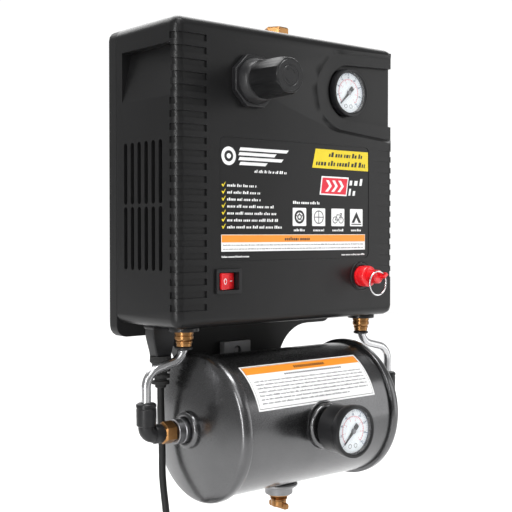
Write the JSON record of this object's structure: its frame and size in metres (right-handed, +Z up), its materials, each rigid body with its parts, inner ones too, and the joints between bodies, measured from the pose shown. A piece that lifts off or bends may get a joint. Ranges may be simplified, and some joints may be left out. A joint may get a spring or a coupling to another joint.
{
  "type": "wall-mounted mini air compressor",
  "caption": "Wall-mounted mini air compressor: a moulded case with an oil-free piston pump over a small domed air tank, with regulator, gauges, switch, relief valve and drain cock.",
  "frame": {"origin": "centre of the wall track's back face, where the wall holds the compressor", "axes": "+Z up, +X to the right along the front, -Y out of the wall towards the user"},
  "size_m": [0.297, 0.1751, 0.702],
  "materials": {
    "black_case": "fine moulded texture",
    "dark_gloss": "semi-gloss",
    "red_plastic": "semi-gloss",
    "white_dial": "printed",
    "clear_lens": "clear",
    "brass": "turned",
    "bright_steel": "polished",
    "zinc_steel": "zinc plated",
    "aluminium": "satin",
    "tank_paint": "dark grey metallic",
    "black_rubber": "matt"
  },
  "bodies": {
    "track": {"wall_track": "zinc_steel"},
    "unit": {"slide_channel": "zinc_steel", "back_cover": "black_case", "front_shroud": "black_case", "regulator_nut": "dark_gloss", "regulator_bonnet": "dark_gloss", "outlet_gauge_case": "dark_gloss", "outlet_gauge_dial": "white_dial", "outlet_gauge_lens": "clear_lens", "tank_gauge_case": "dark_gloss", "tank_gauge_dial": "white_dial", "tank_gauge_lens": "clear_lens", "switch_frame": "dark_gloss", "safety_valve_body": "red_plastic", "tank_body": "tank_paint", "tank_cap_left": "tank_paint", "tank_cap_right": "tank_paint", "end_bung_left": "bright_steel", "end_bung_right": "bright_steel", "gauge_bung": "bright_steel", "drain_boss": "tank_paint", "drain_valve_body": "brass", "tank_bracket": "tank_paint", "case_nut_left": "dark_gloss", "case_nut_right": "dark_gloss", "case_fitting_left": "brass", "case_fitting_right": "brass", "transfer_tube_left": "aluminium", "transfer_tube_right": "aluminium", "tank_fitting_left": "brass", "tank_fitting_right": "brass", "elbow_left": "dark_gloss", "elbow_right": "dark_gloss", "cord_housing": "dark_gloss", "strain_relief": "black_rubber", "power_cord": "black_rubber", "cord_hank": "black_rubber", "cord_tie": "black_rubber", "cord_tail": "black_rubber", "mains_plug": "black_rubber", "outlet_fitting": "brass", "motor_stator": "zinc_steel", "crankcase": "aluminium", "cylinder": "aluminium", "cylinder_head": "aluminium", "pump_cradle": "zinc_steel", "pressure_switch": "dark_gloss"},
    "regulator_screw": {"regulator_spindle": "brass"},
    "regulator_cap": {"regulator_knob": "dark_gloss"},
    "outlet_pointer": {"outlet_gauge_needle": "dark_gloss"},
    "tank_pointer": {"tank_gauge_needle": "dark_gloss"},
    "power_rocker": {"switch_rocker": "red_plastic"},
    "relief_stem": {"safety_valve_stem": "red_plastic"},
    "relief_ring": {"pull_ring": "bright_steel"},
    "drain_cock": {"drain_screw": "brass"},
    "motor_shaft": {"motor_rotor": "zinc_steel", "crank_disc": "zinc_steel", "cooling_fan": "dark_gloss"},
    "con_rod": {"connecting_rod": "aluminium"},
    "pump_piston": {"piston": "dark_gloss"}
  },
  "joints": [
    {"name": "lift_off", "type": "slide", "parent": "track", "child": "unit", "axis": [0, 0, 1], "range_m": [0, 0.055]},
    {"name": "regulator_turn", "type": "hinge", "parent": "unit", "child": "regulator_screw", "pos_m": [-0.0494, -0.101, 0.043], "axis": [0, -1, 0], "range_deg": [-540, 540]},
    {"name": "knob_pull", "type": "slide", "parent": "regulator_screw", "child": "regulator_cap", "axis": [0, -1, 0], "range_m": [0, 0.003]},
    {"name": "outlet_needle_turn", "type": "hinge", "parent": "unit", "child": "outlet_pointer", "pos_m": [0.0685, -0.0974, 0.0449], "axis": [0, 1, 0], "range_deg": [0, 270], "stiffness_Nm_per_rad": 0.00002},
    {"name": "tank_needle_turn", "type": "hinge", "parent": "unit", "child": "tank_pointer", "pos_m": [0, -0.1711, -0.245], "axis": [0, 1, 0], "range_deg": [0, 270], "stiffness_Nm_per_rad": 0.00002},
    {"name": "switch_rock", "type": "hinge", "parent": "unit", "child": "power_rocker", "pos_m": [-0.0747, -0.0965, -0.1225], "axis": [0, 0, 1], "range_deg": [0, 22]},
    {"name": "relief_pull", "type": "slide", "parent": "unit", "child": "relief_stem", "axis": [0, -1, 0], "range_m": [0, 0.003], "stiffness_N_per_m": 2000},
    {"name": "ring_swing", "type": "hinge", "parent": "relief_stem", "child": "relief_ring", "pos_m": [0.0856, -0.1262, -0.1213], "axis": [-0.6428, 0, 0.766], "range_deg": [-8, 75]},
    {"name": "drain_turn", "type": "hinge", "parent": "unit", "child": "drain_cock", "pos_m": [0, -0.0794, -0.3225], "axis": [0, 0, -1], "range_deg": [0, 360]},
    {"name": "shaft_spin", "type": "hinge", "parent": "unit", "child": "motor_shaft", "pos_m": [0, -0.056, -0.085], "axis": [1, 0, 0], "continuous": true},
    {"name": "rod_swing", "type": "hinge", "parent": "motor_shaft", "child": "con_rod", "pos_m": [-0.04, -0.051, -0.085], "axis": [1, 0, 0], "continuous": true},
    {"name": "piston_stroke", "type": "slide", "parent": "unit", "child": "pump_piston", "axis": [0, 0, 1], "range_m": [-0.005, 0.005]}
  ],
  "couplings": [
    {"joint": "rod_swing", "follows": "shaft_spin", "ratio": -1}
  ]
}
